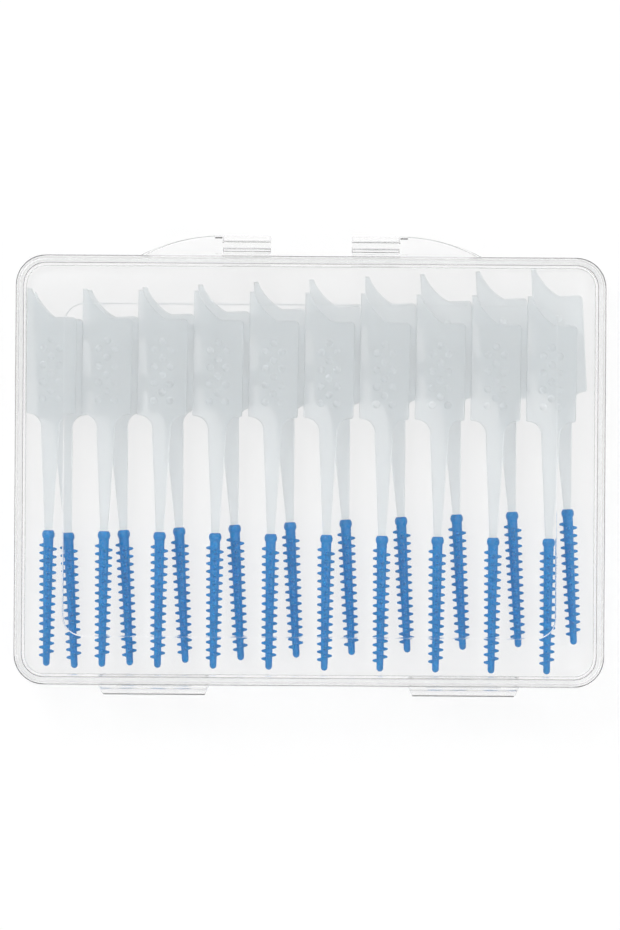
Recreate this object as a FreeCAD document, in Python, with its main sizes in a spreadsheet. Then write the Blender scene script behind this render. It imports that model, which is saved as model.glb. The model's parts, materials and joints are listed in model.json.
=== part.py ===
"""Clear hinged pocket case holding two break-off cards of soft interdental brushes.

The case lies flat: X runs along its length, +Y points to the hinge, +Z is up, and the
origin is the middle of the underside. A brush is drawn upright in its own frame, with
its blade above y = 0 and its rubber tip hanging below, and is then laid into its card.
"""

import FreeCAD, Part
import math
import os

import Sketcher
from FreeCAD import Placement, Rotation, Vector

BRUSHES_PER_CARD = 10
LARGEST_TIP_ROUNDING = 0.45

# Driving sizes, in millimetres and degrees: name, value, meaning
SIZES = (
    ("brush_pitch", 8.92, "spacing of the brushes along a card"),
    ("blade_width", 8.0, "width of a handle's flat blade"),
    ("blade_height", 15.5, "blade from its shoulders to its flat top"),
    ("blade_thickness", 1.8, "thickness of the blade"),
    ("blade_corner", 0.7, "radius of the blade's square top corner"),
    ("blade_edge", 0.2, "rounding of the blade's long edges"),
    ("spike_height", 4.6, "pointed corner above the flat top"),
    ("spike_tip", 0.7, "width of the pointed corner at its very end"),
    ("spike_run", 4.4, "width of the pointed corner at the flat top"),
    ("spike_radius", 7.5, "radius of the pointed corner's hollow flank"),
    ("shoulder_flat", 0.35, "lower edge of the blade beside the hollow shoulder"),
    ("shoulder_round", 0.3, "rounding of the blade's lower corners"),
    ("neck_length", 16.5, "neck from the shoulders to the rubber tip"),
    ("neck_root", 1.0, "first, parallel stretch of the neck"),
    ("neck_width", 2.9, "neck width at the shoulders"),
    ("neck_depth", 1.7, "neck depth at the shoulders"),
    ("neck_end_radius", 0.75, "neck radius where the rubber tip starts"),
    ("dot_radius", 0.6, "radius of a grip dot"),
    ("dot_rise", 0.15, "height of a grip dot above the blade"),
    ("dot_first", 3.6, "first row of dots below the flat top"),
    ("dot_pitch", 1.36, "spacing of the rows of dots"),
    ("dot_spread", 1.28, "outer columns of dots from the middle one"),
    ("dot_margin", 1.8, "least distance from the last row of dots to the shoulders"),
    ("bridge_thickness", 1.5, "thickness of the break-off bridges"),
    ("upper_bridge_drop", 0.8, "upper bridge below the flat top"),
    ("upper_bridge_height", 2.8, "height of the upper bridge"),
    ("lower_bridge_rise", 3.6, "lower bridge above the shoulders"),
    ("lower_bridge_height", 2.6, "height of the lower bridge"),
    ("needle_radius", 0.48, "stiff needle inside the rubber, at the neck"),
    ("needle_end_radius", 0.25, "stiff needle at its end"),
    ("needle_cover", 1.6, "solid rubber beyond the needle's end"),
    ("moulding_gap", 0.02, "gap between the rubber and what it is moulded on"),
    ("tip_length", 21.8, "rubber tip from the neck to its end"),
    ("bulb_rise", 0.27, "round collar of the rubber tip proud of the neck"),
    ("core_radius", 0.83, "rubber core below the collar"),
    ("core_end_radius", 0.55, "rubber core at its rounded end"),
    ("nub_length", 0.62, "rubber nub beyond the core"),
    ("nub_root_radius", 0.38, "nub radius at the core"),
    ("nub_tip_radius", 0.15, "nub radius at its end"),
    ("nub_sink", 0.15, "depth of a nub's root inside the core"),
    ("nub_first", 2.4, "first nub below the neck"),
    ("nub_pitch", 1.26, "spacing of the nubs in a row"),
    ("nub_margin", 1.3, "bare rounded end below the last nub"),
    ("card_clearance", 0.2, "room under each card"),
    ("upper_card_turn", -0.6, "turn of the upper card in the case"),
    ("upper_card_end_gap", 0.2, "upper card to the left end wall, before its turn"),
    ("upper_card_front_gap", 1.19, "upper card to the front wall, before its turn"),
    ("lower_card_corner_gap", 0.5, "turned corners of the lower card to front and back walls"),
    ("lower_card_shift_x", 0.85, "lower card along the case"),
    ("lower_card_shift_y", 0.5, "lower card across the case"),
    ("length_room", 3.72, "inside of the case longer than a card"),
    ("width_room", 5.7, "inside of the case wider than a brush is long"),
    ("rim_room", 0.2, "base rim above the upper card"),
    ("head_room", 5.2, "inside height of the lid"),
    ("wall", 1.25, "side walls of base and lid"),
    ("floor_thickness", 1.2, "floor of the base"),
    ("roof_thickness", 1.2, "roof of the lid"),
    ("corner_radius", 4.8, "outside radius of the case's corners"),
    ("edge_radius", 0.9, "outside edges of floor and roof"),
    ("inner_edge_radius", 0.6, "inside edges of floor and roof"),
    ("lip_height", 1.0, "lip on the base that the lid fits over"),
    ("lip_thickness", 0.55, "thickness of that lip"),
    ("lip_clearance", 0.1, "room between lip and lid"),
    ("panel_inset", 7.7, "raised panel in from the lid's sides"),
    ("panel_corner", 3.4, "radius of the panel's corners"),
    ("panel_rise", 0.35, "height of the raised panel"),
    ("panel_edge", 0.25, "rounding of the panel's edge"),
    ("hinge_gap", 0.3, "room between the hinge clips and the back wall"),
    ("barrel_radius", 1.5, "outside radius of the lid's hinge clips"),
    ("pin_radius", 0.75, "hinge pins"),
    ("pin_clearance", 0.08, "radial room of the clips on the pins"),
    ("knuckle_start", 6.5, "inner end of a hinge clip from the middle"),
    ("knuckle_length", 7.6, "length of a hinge clip"),
    ("knuckle_end_gap", 0.15, "room between a clip and its ear"),
    ("knuckle_rise", 0.2, "web of the clip above the parting"),
    ("clip_mouth", 1.2, "mouth of the clip that snaps over the pin"),
    ("weld", 0.35, "depth to which moulded-on pieces run into a wall"),
    ("ear_length", 13.3, "length of a curved hinge ear"),
    ("ear_thickness", 2.2, "thickness of a hinge ear"),
    ("boss_length", 1.2, "round boss at the root of a pin"),
    ("latch_centre", 24.8, "latch tongue from the middle of the case"),
    ("latch_width", 18.7, "width of a latch tongue"),
    ("latch_taper", 0.8, "slant at each end of a tongue"),
    ("latch_gap", 0.5, "room between tongue and front wall"),
    ("latch_thickness", 0.9, "thickness of a tongue"),
    ("latch_lip", 0.3, "finger lip at the tongue's lower edge"),
    ("latch_lip_height", 0.9, "height of the finger lip"),
    ("latch_rise", 3.0, "tongue's flexure above the parting"),
    ("latch_tail", 0.5, "tongue below its bead"),
    ("latch_clearance", 0.05, "room at the flexure"),
    ("lug_height", 1.0, "lug of the lid above the flexure"),
    ("catch_width", 12.0, "width of a catch on the base"),
    ("catch_depth", 0.25, "catch out from the front wall"),
    ("catch_height", 0.9, "height of a catch"),
    ("catch_drop", 1.4, "top of a catch below the parting"),
    ("bead_depth", 0.2, "bead on the tongue that runs under the catch"),
    ("bead_height", 0.8, "height of that bead"),
)

# Brush sizes that follow from the driving ones
SHOULDER = "((Sizes.blade_width - Sizes.neck_width) / 2 - Sizes.shoulder_flat)"
COLLAR = f"({SHOULDER} + Sizes.neck_length)"
BRUSH_ABOVE = "(Sizes.blade_height + Sizes.spike_height)"
BRUSH_BELOW = f"({COLLAR} + Sizes.tip_length)"
BRUSH_MIDDLE = f"(({BRUSH_BELOW} - {BRUSH_ABOVE}) / 2)"
NUBS_DEPTH = "(2 * (Sizes.core_radius + Sizes.nub_length))"
GRIP_DEPTH = "(Sizes.blade_thickness + 2 * Sizes.dot_rise)"
BRUSH_DEPTH = f"max({NUBS_DEPTH}; {GRIP_DEPTH})"
BULB_RADIUS = "(Sizes.neck_end_radius + Sizes.bulb_rise)"
DOT_BALL = "((Sizes.dot_radius ^ 2 + Sizes.dot_rise ^ 2) / (2 * Sizes.dot_rise))"
CORE_LENGTH = "(Sizes.tip_length - Sizes.core_end_radius)"
NEEDLE_LENGTH = "(Sizes.tip_length - Sizes.needle_cover)"

# Case sizes that follow from the brushes and the room around them
CARD_LENGTH = f"({BRUSHES_PER_CARD - 1} * Sizes.brush_pitch + Sizes.blade_width)"
CAVITY_LENGTH = f"({CARD_LENGTH} + Sizes.length_room)"
CAVITY_WIDTH = f"({BRUSH_ABOVE} + {BRUSH_BELOW} + Sizes.width_room)"
CASE_LENGTH = f"({CAVITY_LENGTH} + 2 * Sizes.wall)"
CASE_WIDTH = f"({CAVITY_WIDTH} + 2 * Sizes.wall)"
INNER_CORNER = "(Sizes.corner_radius - Sizes.wall)"
PARTING = f"(Sizes.floor_thickness + 2 * ({BRUSH_DEPTH} + Sizes.card_clearance) + Sizes.rim_room)"
LID_HEIGHT = "(Sizes.head_room + Sizes.roof_thickness)"
LID_TOP = f"({PARTING} + {LID_HEIGHT})"
BACK = f"({CASE_WIDTH} / 2)"
FRONT = f"(-{CASE_WIDTH} / 2)"
HINGE_OFFSET = "(Sizes.barrel_radius + Sizes.hinge_gap)"
HINGE_Y = f"({BACK} + {HINGE_OFFSET})"
EAR_START = "(Sizes.knuckle_start + Sizes.knuckle_length + Sizes.knuckle_end_gap)"
EAR_END = f"({EAR_START} + Sizes.ear_length)"
EAR_REACH = f"({HINGE_OFFSET} + Sizes.barrel_radius)"
EAR_ARC = f"((Sizes.ear_length ^ 2 + {EAR_REACH} ^ 2) / (2 * {EAR_REACH}))"
LATCH_START = "(Sizes.latch_centre - Sizes.latch_width / 2)"
LATCH_END = "(Sizes.latch_centre + Sizes.latch_width / 2)"
LATCH_PIVOT_Y = f"({FRONT} - Sizes.latch_gap - Sizes.latch_thickness / 2)"
LATCH_PIVOT_Z = f"({PARTING} + Sizes.latch_rise)"
LATCH_INNER = f"({FRONT} - Sizes.latch_gap)"
LATCH_OUTER = f"({LATCH_INNER} - Sizes.latch_thickness)"
LATCH_LIP_FACE = f"({LATCH_OUTER} - Sizes.latch_lip)"
LATCH_ROOT = f"({FRONT} + Sizes.weld)"
LATCH_DEPTH = f"({LATCH_ROOT} - {LATCH_OUTER})"
CATCH_TOP = f"({PARTING} - Sizes.catch_drop)"
CATCH_BOTTOM = f"({CATCH_TOP} - Sizes.catch_height)"
BEAD_BOTTOM = f"({CATCH_BOTTOM} - Sizes.bead_height)"
LATCH_BOTTOM = f"({BEAD_BOTTOM} - Sizes.latch_tail)"
LATCH_HEIGHT = f"({LATCH_PIVOT_Z} + Sizes.latch_thickness - {LATCH_BOTTOM})"

# How each card lies in the case, the lower one first: turn, place along, place across
CARDS = {
    "lower": (
        f"asin((Sizes.width_room - 2 * Sizes.lower_card_corner_gap) / {CARD_LENGTH})",
        "Sizes.lower_card_shift_x",
        "Sizes.lower_card_shift_y",
    ),
    "upper": (
        "(Sizes.upper_card_turn * 1 deg)",
        "(Sizes.upper_card_end_gap - Sizes.length_room / 2)",
        "(Sizes.upper_card_front_gap - Sizes.width_room / 2)",
    ),
}

NORMAL = Vector(0, 0, 1)
DOWN_THE_BRUSH = Rotation(Vector(1, 0, 0), 90)
QUARTER_TURN = 90
COUNTER_CLOCKWISE = 1
CLOCKWISE = -1
NEAR = 1e-4

doc = FreeCAD.newDocument("interdental_brush_case")
sheet = doc.addObject("Spreadsheet::Sheet", "Sizes")


def fill_sheet():
    """Write the driving sizes into the sheet, each under its own name."""
    for row, (name, value, meaning) in enumerate(SIZES, start=1):
        sheet.set(f"A{row}", name)
        sheet.set(f"B{row}", str(value))
        sheet.set(f"C{row}", meaning)
        sheet.setAlias(f"B{row}", name)
    doc.recompute()


def measure(expression):
    """Present value of an expression on the sheet's sizes."""
    return float(sheet.evalExpression(expression))


def bind(item, **expressions):
    """Bind properties of a document object to expressions; a double underscore is a dot."""
    for path, expression in expressions.items():
        item.setExpression(path.replace("__", "."), expression)


# Sketches

def origin_plane(body, role):
    return next(item for item in body.Origin.OriginFeatures if item.Role == role)


def sketch_on(body, role, name, height="0"):
    """Sketch on one of a body's origin planes, lifted along the plane's normal."""
    sketch = body.newObject("Sketcher::SketchObject", name)
    sketch.AttachmentSupport = [(origin_plane(body, role), "")]
    sketch.MapMode = "FlatFace"
    bind(sketch, AttachmentOffset__Base__z=height)
    return sketch


def hold(sketch, kind, references, expression):
    """Add a dimension to a sketch and bind it."""
    index = sketch.addConstraint(Sketcher.Constraint(kind, *references, measure(expression)))
    sketch.setExpression(f"Constraints[{index}]", expression)


def place_point(sketch, geometry, corner, x, y):
    """Fix a point of a sketch at two expressions; a plain zero lies on the axis."""
    for kind, axis, expression in (("DistanceX", -2, x), ("DistanceY", -1, y)):
        if expression == "0":
            sketch.addConstraint(Sketcher.Constraint("PointOnObject", geometry, corner, axis))
        else:
            hold(sketch, kind, (-1, 1, geometry, corner), expression)


def arc_between(start, end, radius, sense):
    """Arc of less than a half turn from start to end, turning the given way."""
    chord = end - start
    height = math.sqrt(radius ** 2 - (chord.Length / 2) ** 2)
    side = Vector(-chord.y, chord.x, 0).normalize() * sense
    centre = (start + end) / 2 + side * height
    first, last = (start, end) if sense == COUNTER_CLOCKWISE else (end, start)
    angles = [math.atan2(point.y - centre.y, point.x - centre.x) for point in (first, last)]
    return Part.ArcOfCircle(Part.Circle(centre, NORMAL, radius), *angles)


def outline(sketch, points):
    """Closed outline; a point may also carry the radius and sense of an arc to the next one."""
    count = len(points)
    places = [Vector(measure(point[0]), measure(point[1]), 0) for point in points]
    ends = []
    for index, point in enumerate(points):
        start, end = places[index], places[(index + 1) % count]
        if len(point) == 2:
            geometry = sketch.addGeometry(Part.LineSegment(start, end))
            ends.append((geometry, 1, 2))
            continue
        radius, sense = point[2:]
        geometry = sketch.addGeometry(arc_between(start, end, measure(radius), sense))
        ends.append((geometry, 1, 2) if sense == COUNTER_CLOCKWISE else (geometry, 2, 1))
    for index, (geometry, _, last) in enumerate(ends):
        following, next_first, _ = ends[(index + 1) % count]
        sketch.addConstraint(Sketcher.Constraint("Coincident", geometry, last, following, next_first))
    for point, (geometry, first, _) in zip(points, ends):
        place_point(sketch, geometry, first, point[0], point[1])
        if len(point) > 2:
            hold(sketch, "Radius", (geometry,), point[2])


def rounded_rectangle(sketch, length, width, radius):
    """Rectangle round the origin with rounded corners."""
    right, top = f"({length} / 2)", f"({width} / 2)"
    left, bottom = f"(-{length} / 2)", f"(-{width} / 2)"
    bend = (radius, COUNTER_CLOCKWISE)
    outline(sketch, [
        (f"{left} + {radius}", bottom),
        (f"{right} - {radius}", bottom, *bend),
        (right, f"{bottom} + {radius}"),
        (right, f"{top} - {radius}", *bend),
        (f"{right} - {radius}", top),
        (f"{left} + {radius}", top, *bend),
        (left, f"{top} - {radius}"),
        (left, f"{bottom} + {radius}", *bend),
    ])


def rectangle(sketch, left, bottom, right, top):
    outline(sketch, [(left, bottom), (right, bottom), (right, top), (left, top)])


def circle(sketch, x, y, radius):
    centre = Vector(measure(x), measure(y), 0)
    geometry = sketch.addGeometry(Part.Circle(centre, NORMAL, measure(radius)))
    place_point(sketch, geometry, 3, x, y)
    hold(sketch, "Radius", (geometry,), radius)


# Features

def pad(body, sketch, name, length, midplane=False):
    feature = body.newObject("PartDesign::Pad", name)
    feature.Profile = sketch
    feature.Midplane = midplane
    bind(feature, Length=length)
    doc.recompute()
    return feature


def pocket(body, sketch, name, depth, reverse=False):
    """Cut a sketch into a body and make sure that it took material away."""
    before = body.Shape.Volume
    feature = body.newObject("PartDesign::Pocket", name)
    feature.Profile = sketch
    feature.Reversed = reverse
    bind(feature, Length=depth)
    doc.recompute()
    if not body.Shape.Volume < before:
        raise RuntimeError(f"{name} cuts nothing")
    return feature


def runs_along(edge, test):
    """Whether both ends of an edge pass a test."""
    return all(test(vertex.Point) for vertex in edge.Vertexes)


def fillet(body, name, radius, wanted, unwanted=()):
    """Round the edges of a body's last feature that pass the wanted test and no unwanted one."""
    base = body.Tip
    edges = [
        f"Edge{number}" for number, edge in enumerate(base.Shape.Edges, start=1)
        if runs_along(edge, wanted) and not any(runs_along(edge, test) for test in unwanted)
    ]
    feature = body.newObject("PartDesign::Fillet", name)
    feature.Base = (base, edges)
    bind(feature, Radius=radius)
    doc.recompute()
    return feature


def mirror(body, name, features):
    """Repeat features on the other side of the case's middle."""
    feature = body.newObject("PartDesign::Mirrored", name)
    feature.Originals = features
    feature.MirrorPlane = (origin_plane(body, "YZ_Plane"), [""])
    body.Tip = feature
    doc.recompute()


def at_height(expression):
    level = measure(expression)
    return lambda point: abs(point.z - level) < NEAR


def on_faces(expression):
    """Test for a point on either of two faces at plus or minus a height."""
    level = measure(expression)
    return lambda point: abs(abs(point.z) - level) < NEAR


def at_end(expression):
    level = measure(expression)
    return lambda point: abs(point.y - level) < NEAR


def at_sides(x, y):
    """Test for a point on one of the two upright lines at plus or minus x."""
    across, along = measure(x), measure(y)
    return lambda point: abs(abs(point.x) - across) < NEAR and abs(point.y - along) < NEAR


# Case

def case_base():
    """Tray with a rim lip, hinge ears, pins and catches."""
    body = doc.addObject("PartDesign::Body", "case_base")

    block = sketch_on(body, "XY_Plane", "base_outline")
    rounded_rectangle(block, CASE_LENGTH, CASE_WIDTH, "Sizes.corner_radius")
    pad(body, block, "base_block", PARTING)
    fillet(body, "base_underside_edge", "Sizes.edge_radius", at_height("0"))

    tray = sketch_on(body, "XY_Plane", "tray_outline", PARTING)
    rounded_rectangle(tray, CAVITY_LENGTH, CAVITY_WIDTH, INNER_CORNER)
    pocket(body, tray, "tray", f"{PARTING} - Sizes.floor_thickness")
    fillet(body, "tray_edge", "Sizes.inner_edge_radius", at_height("Sizes.floor_thickness"))

    lip = sketch_on(body, "XY_Plane", "lip_outline", PARTING)
    rounded_rectangle(
        lip,
        f"({CAVITY_LENGTH} + 2 * Sizes.lip_thickness)",
        f"({CAVITY_WIDTH} + 2 * Sizes.lip_thickness)",
        f"({INNER_CORNER} + Sizes.lip_thickness)",
    )
    rounded_rectangle(lip, CAVITY_LENGTH, CAVITY_WIDTH, INNER_CORNER)
    pad(body, lip, "lip", "Sizes.lip_height")

    ear_sketch = sketch_on(body, "XY_Plane", "ear_outline", f"{PARTING} - Sizes.ear_thickness")
    outline(ear_sketch, [
        (EAR_START, f"{BACK} - Sizes.weld"),
        (EAR_END, f"{BACK} - Sizes.weld"),
        (EAR_END, BACK, EAR_ARC, COUNTER_CLOCKWISE),
        (EAR_START, f"{BACK} + {EAR_REACH}"),
    ])
    ear = pad(body, ear_sketch, "ear", "Sizes.ear_thickness")

    boss_sketch = sketch_on(body, "YZ_Plane", "boss_outline", EAR_START)
    circle(boss_sketch, HINGE_Y, PARTING, "Sizes.barrel_radius")
    boss = pad(body, boss_sketch, "boss", "Sizes.boss_length")

    pin_sketch = sketch_on(body, "YZ_Plane", "pin_outline", "Sizes.knuckle_start")
    circle(pin_sketch, HINGE_Y, PARTING, "Sizes.pin_radius")
    pin = pad(body, pin_sketch, "pin", f"{EAR_START} - Sizes.knuckle_start + Sizes.weld")

    catch_sketch = sketch_on(
        body, "YZ_Plane", "catch_outline", "Sizes.latch_centre - Sizes.catch_width / 2")
    outline(catch_sketch, [
        (f"{FRONT} + Sizes.weld", CATCH_TOP),
        (FRONT, CATCH_TOP),
        (f"{FRONT} - Sizes.catch_depth", CATCH_BOTTOM),
        (f"{FRONT} + Sizes.weld", CATCH_BOTTOM),
    ])
    catch = pad(body, catch_sketch, "catch", "Sizes.catch_width")

    mirror(body, "left_hand_fittings", [ear, boss, pin, catch])
    return body


def case_lid():
    """Lid with a raised panel, hinge clips and the lugs of the latch tongues."""
    body = doc.addObject("PartDesign::Body", "case_lid")

    block = sketch_on(body, "XY_Plane", "lid_outline", PARTING)
    rounded_rectangle(block, CASE_LENGTH, CASE_WIDTH, "Sizes.corner_radius")
    pad(body, block, "lid_block", LID_HEIGHT)
    fillet(body, "lid_top_edge", "Sizes.edge_radius", at_height(LID_TOP))

    panel = sketch_on(body, "XY_Plane", "panel_outline", LID_TOP)
    rounded_rectangle(
        panel,
        f"({CASE_LENGTH} - 2 * Sizes.panel_inset)",
        f"({CASE_WIDTH} - 2 * Sizes.panel_inset)",
        "Sizes.panel_corner",
    )
    pad(body, panel, "panel", "Sizes.panel_rise")
    fillet(body, "panel_round", "Sizes.panel_edge", at_height(f"{LID_TOP} + Sizes.panel_rise"))

    hollow = sketch_on(body, "XY_Plane", "hollow_outline", PARTING)
    rounded_rectangle(hollow, CAVITY_LENGTH, CAVITY_WIDTH, INNER_CORNER)
    pocket(body, hollow, "hollow", "Sizes.head_room", reverse=True)
    fillet(body, "hollow_edge", "Sizes.inner_edge_radius", at_height(f"{PARTING} + Sizes.head_room"))

    rebate = sketch_on(body, "XY_Plane", "rebate_outline", PARTING)
    rebate_depth = "(Sizes.lip_thickness + Sizes.lip_clearance)"
    rounded_rectangle(
        rebate,
        f"({CAVITY_LENGTH} + 2 * {rebate_depth})",
        f"({CAVITY_WIDTH} + 2 * {rebate_depth})",
        f"({INNER_CORNER} + {rebate_depth})",
    )
    pocket(body, rebate, "rebate", "Sizes.lip_height + Sizes.lip_clearance", reverse=True)

    barrel_sketch = sketch_on(body, "YZ_Plane", "barrel_outline", "Sizes.knuckle_start")
    circle(barrel_sketch, HINGE_Y, PARTING, "Sizes.barrel_radius")
    barrel = pad(body, barrel_sketch, "barrel", "Sizes.knuckle_length")

    web_sketch = sketch_on(body, "YZ_Plane", "web_outline", "Sizes.knuckle_start")
    rectangle(
        web_sketch,
        f"{BACK} - Sizes.weld", f"{PARTING} + Sizes.knuckle_rise",
        HINGE_Y, f"{PARTING} + Sizes.barrel_radius",
    )
    web = pad(body, web_sketch, "web", "Sizes.knuckle_length")

    bore_sketch = sketch_on(body, "YZ_Plane", "bore_outline", "Sizes.knuckle_start")
    circle(bore_sketch, HINGE_Y, PARTING, "(Sizes.pin_radius + Sizes.pin_clearance)")
    bore = pocket(body, bore_sketch, "bore", "Sizes.knuckle_length", reverse=True)

    mouth_sketch = sketch_on(body, "YZ_Plane", "mouth_outline", "Sizes.knuckle_start")
    rectangle(
        mouth_sketch,
        f"{HINGE_Y} - Sizes.clip_mouth / 2", f"{PARTING} - 2 * Sizes.barrel_radius",
        f"{HINGE_Y} + Sizes.clip_mouth / 2", PARTING,
    )
    mouth = pocket(body, mouth_sketch, "mouth", "Sizes.knuckle_length", reverse=True)

    lug_sketch = sketch_on(body, "XY_Plane", "lug_outline", LATCH_PIVOT_Z)
    latch_plan(lug_sketch)
    lug = pad(body, lug_sketch, "lug", "Sizes.lug_height")

    groove_sketch = sketch_on(body, "YZ_Plane", "groove_outline", LATCH_START)
    groove_radius = "(Sizes.latch_thickness / 2 + Sizes.latch_clearance)"
    circle(groove_sketch, LATCH_PIVOT_Y, LATCH_PIVOT_Z, groove_radius)
    groove = pocket(body, groove_sketch, "flexure_groove", "Sizes.latch_width", reverse=True)

    mirror(body, "left_hand_fittings", [barrel, web, bore, mouth, lug, groove])
    return body


def latch_plan(sketch):
    """A latch seen from above: a bar whose ends slant in towards its outer face."""
    outline(sketch, [
        (f"{LATCH_START} + Sizes.latch_taper", LATCH_OUTER),
        (f"{LATCH_END} - Sizes.latch_taper", LATCH_OUTER),
        (LATCH_END, LATCH_ROOT),
        (LATCH_START, LATCH_ROOT),
    ])


def latch_section(sketch):
    """A tongue seen from its end: round at the flexure, a bead inside, a finger lip outside."""
    half = "Sizes.latch_thickness / 2"
    bend = (f"({half})", COUNTER_CLOCKWISE)
    lip_top = f"{LATCH_BOTTOM} + Sizes.latch_lip_height"
    outline(sketch, [
        (LATCH_INNER, LATCH_PIVOT_Z, *bend),
        (LATCH_PIVOT_Y, f"{LATCH_PIVOT_Z} + {half}", *bend),
        (LATCH_OUTER, LATCH_PIVOT_Z),
        (LATCH_OUTER, lip_top),
        (LATCH_LIP_FACE, f"{lip_top} - Sizes.latch_lip"),
        (LATCH_LIP_FACE, LATCH_BOTTOM),
        (LATCH_INNER, LATCH_BOTTOM),
        (LATCH_INNER, BEAD_BOTTOM),
        (f"{LATCH_INNER} + Sizes.bead_depth", f"{BEAD_BOTTOM} + Sizes.bead_height / 2"),
        (LATCH_INNER, CATCH_BOTTOM),
    ])


def right_latch():
    """Snap tongue that hangs from the lid in front of the base's catch."""
    body = doc.addObject("PartDesign::Body", "right_latch")
    section = sketch_on(body, "YZ_Plane", "tongue_section", LATCH_START)
    latch_section(section)
    pad(body, section, "tongue", "Sizes.latch_width")
    for side, end, inwards in (("inner", LATCH_START, 1), ("outer", LATCH_END, -1)):
        slant = sketch_on(body, "XY_Plane", f"{side}_slant", LATCH_BOTTOM)
        reach = f"({inwards} * Sizes.latch_taper * (1 + Sizes.latch_lip / {LATCH_DEPTH}))"
        outline(slant, [
            (end, LATCH_ROOT),
            (f"{end} + {reach}", LATCH_LIP_FACE),
            (f"{end} - {reach}", LATCH_LIP_FACE),
        ])
        pocket(body, slant, f"{side}_end", LATCH_HEIGHT, reverse=True)
    return body


def left_latch(source):
    copy = doc.addObject("Part::Mirroring", "left_latch")
    copy.Source = source
    copy.Normal = Vector(1, 0, 0)
    return copy


# Brushes

def blade():
    """Flat blade with its pointed corner, hollow shoulders and the root of the neck."""
    body = doc.addObject("PartDesign::Body", "blade")
    half = "Sizes.blade_width / 2"
    neck = "Sizes.neck_width / 2"
    neck_end = f"-({SHOULDER} + Sizes.neck_root)"
    top = "Sizes.blade_height"
    plan = sketch_on(body, "XY_Plane", "blade_outline")
    outline(plan, [
        (f"-{neck}", neck_end),
        (neck, neck_end),
        (neck, f"-{SHOULDER}", SHOULDER, CLOCKWISE),
        (f"{neck} + {SHOULDER}", "0"),
        (half, "0"),
        (half, f"{top} - Sizes.blade_corner", "Sizes.blade_corner", COUNTER_CLOCKWISE),
        (f"{half} - Sizes.blade_corner", top),
        (f"-{half} + Sizes.spike_run", top, "Sizes.spike_radius", CLOCKWISE),
        (f"-{half} + Sizes.spike_tip", f"{top} + Sizes.spike_height"),
        (f"-{half}", f"{top} + Sizes.spike_height"),
        (f"-{half}", "0"),
        (f"-({neck} + {SHOULDER})", "0", SHOULDER, CLOCKWISE),
        (f"-{neck}", f"-{SHOULDER}"),
    ])
    pad(body, plan, "blade_plate", "Sizes.blade_thickness", midplane=True)
    fillet(body, "shoulder_round", "Sizes.shoulder_round", at_sides(half, "0"))
    fillet(
        body, "blade_edge", f"min(Sizes.blade_edge; {LARGEST_TIP_ROUNDING} * Sizes.spike_tip)",
        on_faces("Sizes.blade_thickness / 2"),
        unwanted=(at_end(neck_end), at_end(f"{top} + Sizes.spike_height")),
    )
    return body


def neck():
    """Neck that runs from an oval at its root to a circle at the rubber tip."""
    oval = doc.addObject("Part::Ellipse", "neck_oval")
    oval.Placement = Placement(Vector(), DOWN_THE_BRUSH)
    bind(oval, MajorRadius="Sizes.neck_width / 2", MinorRadius="Sizes.neck_depth / 2",
         Placement__Base__y=f"-({SHOULDER} + Sizes.neck_root)")
    ring = doc.addObject("Part::Circle", "neck_ring")
    ring.Placement = Placement(Vector(), DOWN_THE_BRUSH)
    bind(ring, Radius="Sizes.neck_end_radius", Placement__Base__y=f"-{COLLAR}")
    loft = doc.addObject("Part::Loft", "neck")
    loft.Sections = [oval, ring]
    loft.Solid = True
    loft.Ruled = True
    return loft


def cone(name, root_radius, end_radius, length, turn, x="0", y="0", z="0"):
    """Cone whose axis is the turned Z axis, from its root to its end."""
    item = doc.addObject("Part::Cone", name)
    item.Placement = Placement(Vector(), turn)
    bind(item, Radius1=root_radius, Radius2=end_radius, Height=length,
         Placement__Base__x=x, Placement__Base__y=y, Placement__Base__z=z)
    return item


def quartered_cone(name, root_radius, end_radius, length, y):
    """Cone down the brush in four quarters, so that each row of nubs stands on a face of its own."""
    quarters = []
    for number in range(4):
        around = Rotation(NORMAL, (number + 0.5) * QUARTER_TURN)
        quarter = cone(name, root_radius, end_radius, length, DOWN_THE_BRUSH.multiply(around), y=y)
        quarter.Angle = QUARTER_TURN
        quarters.append(quarter)
    return quarters


def ball(name, radius, x="0", y="0", z="0"):
    item = doc.addObject("Part::Sphere", name)
    bind(item, Radius=radius, Placement__Base__x=x, Placement__Base__y=y, Placement__Base__z=z)
    return item


def grip_dots():
    """Staggered low dots on both faces of the blade: one and two to a row in turn."""
    room = measure("Sizes.blade_height - Sizes.dot_first - Sizes.dot_margin")
    rows = int(room / measure("Sizes.dot_pitch")) + 1
    depth = f"(Sizes.blade_thickness / 2 + Sizes.dot_rise - {DOT_BALL})"
    dots = []
    for row in range(rows):
        y = f"Sizes.blade_height - Sizes.dot_first - {row} * Sizes.dot_pitch"
        columns = ("-Sizes.dot_spread", "Sizes.dot_spread") if row % 2 else ("0",)
        for x in columns:
            for z in (depth, f"-{depth}"):
                dots.append(ball("grip_dot", DOT_BALL, x, y, z))
    return dots


def fuse(name, pieces, refine=True):
    """Join pieces into one solid, with faces that continue one another merged or left apart."""
    item = doc.addObject("Part::MultiFuse", name)
    item.Shapes = pieces
    item.Refine = refine
    return item


def needle():
    """Stiff needle that the rubber tip is moulded over."""
    return cone("needle", "Sizes.needle_radius", "Sizes.needle_end_radius", NEEDLE_LENGTH,
                DOWN_THE_BRUSH, y=f"-{COLLAR}")


def bridge(name, bottom, height):
    """Web that joins a blade to its right-hand neighbour."""
    item = doc.addObject("Part::Box", name)
    bind(item, Length="Sizes.brush_pitch - Sizes.blade_width", Width=height,
         Height="Sizes.bridge_thickness", Placement__Base__x="Sizes.blade_width / 2",
         Placement__Base__y=bottom, Placement__Base__z="-Sizes.bridge_thickness / 2")
    return item


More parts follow.
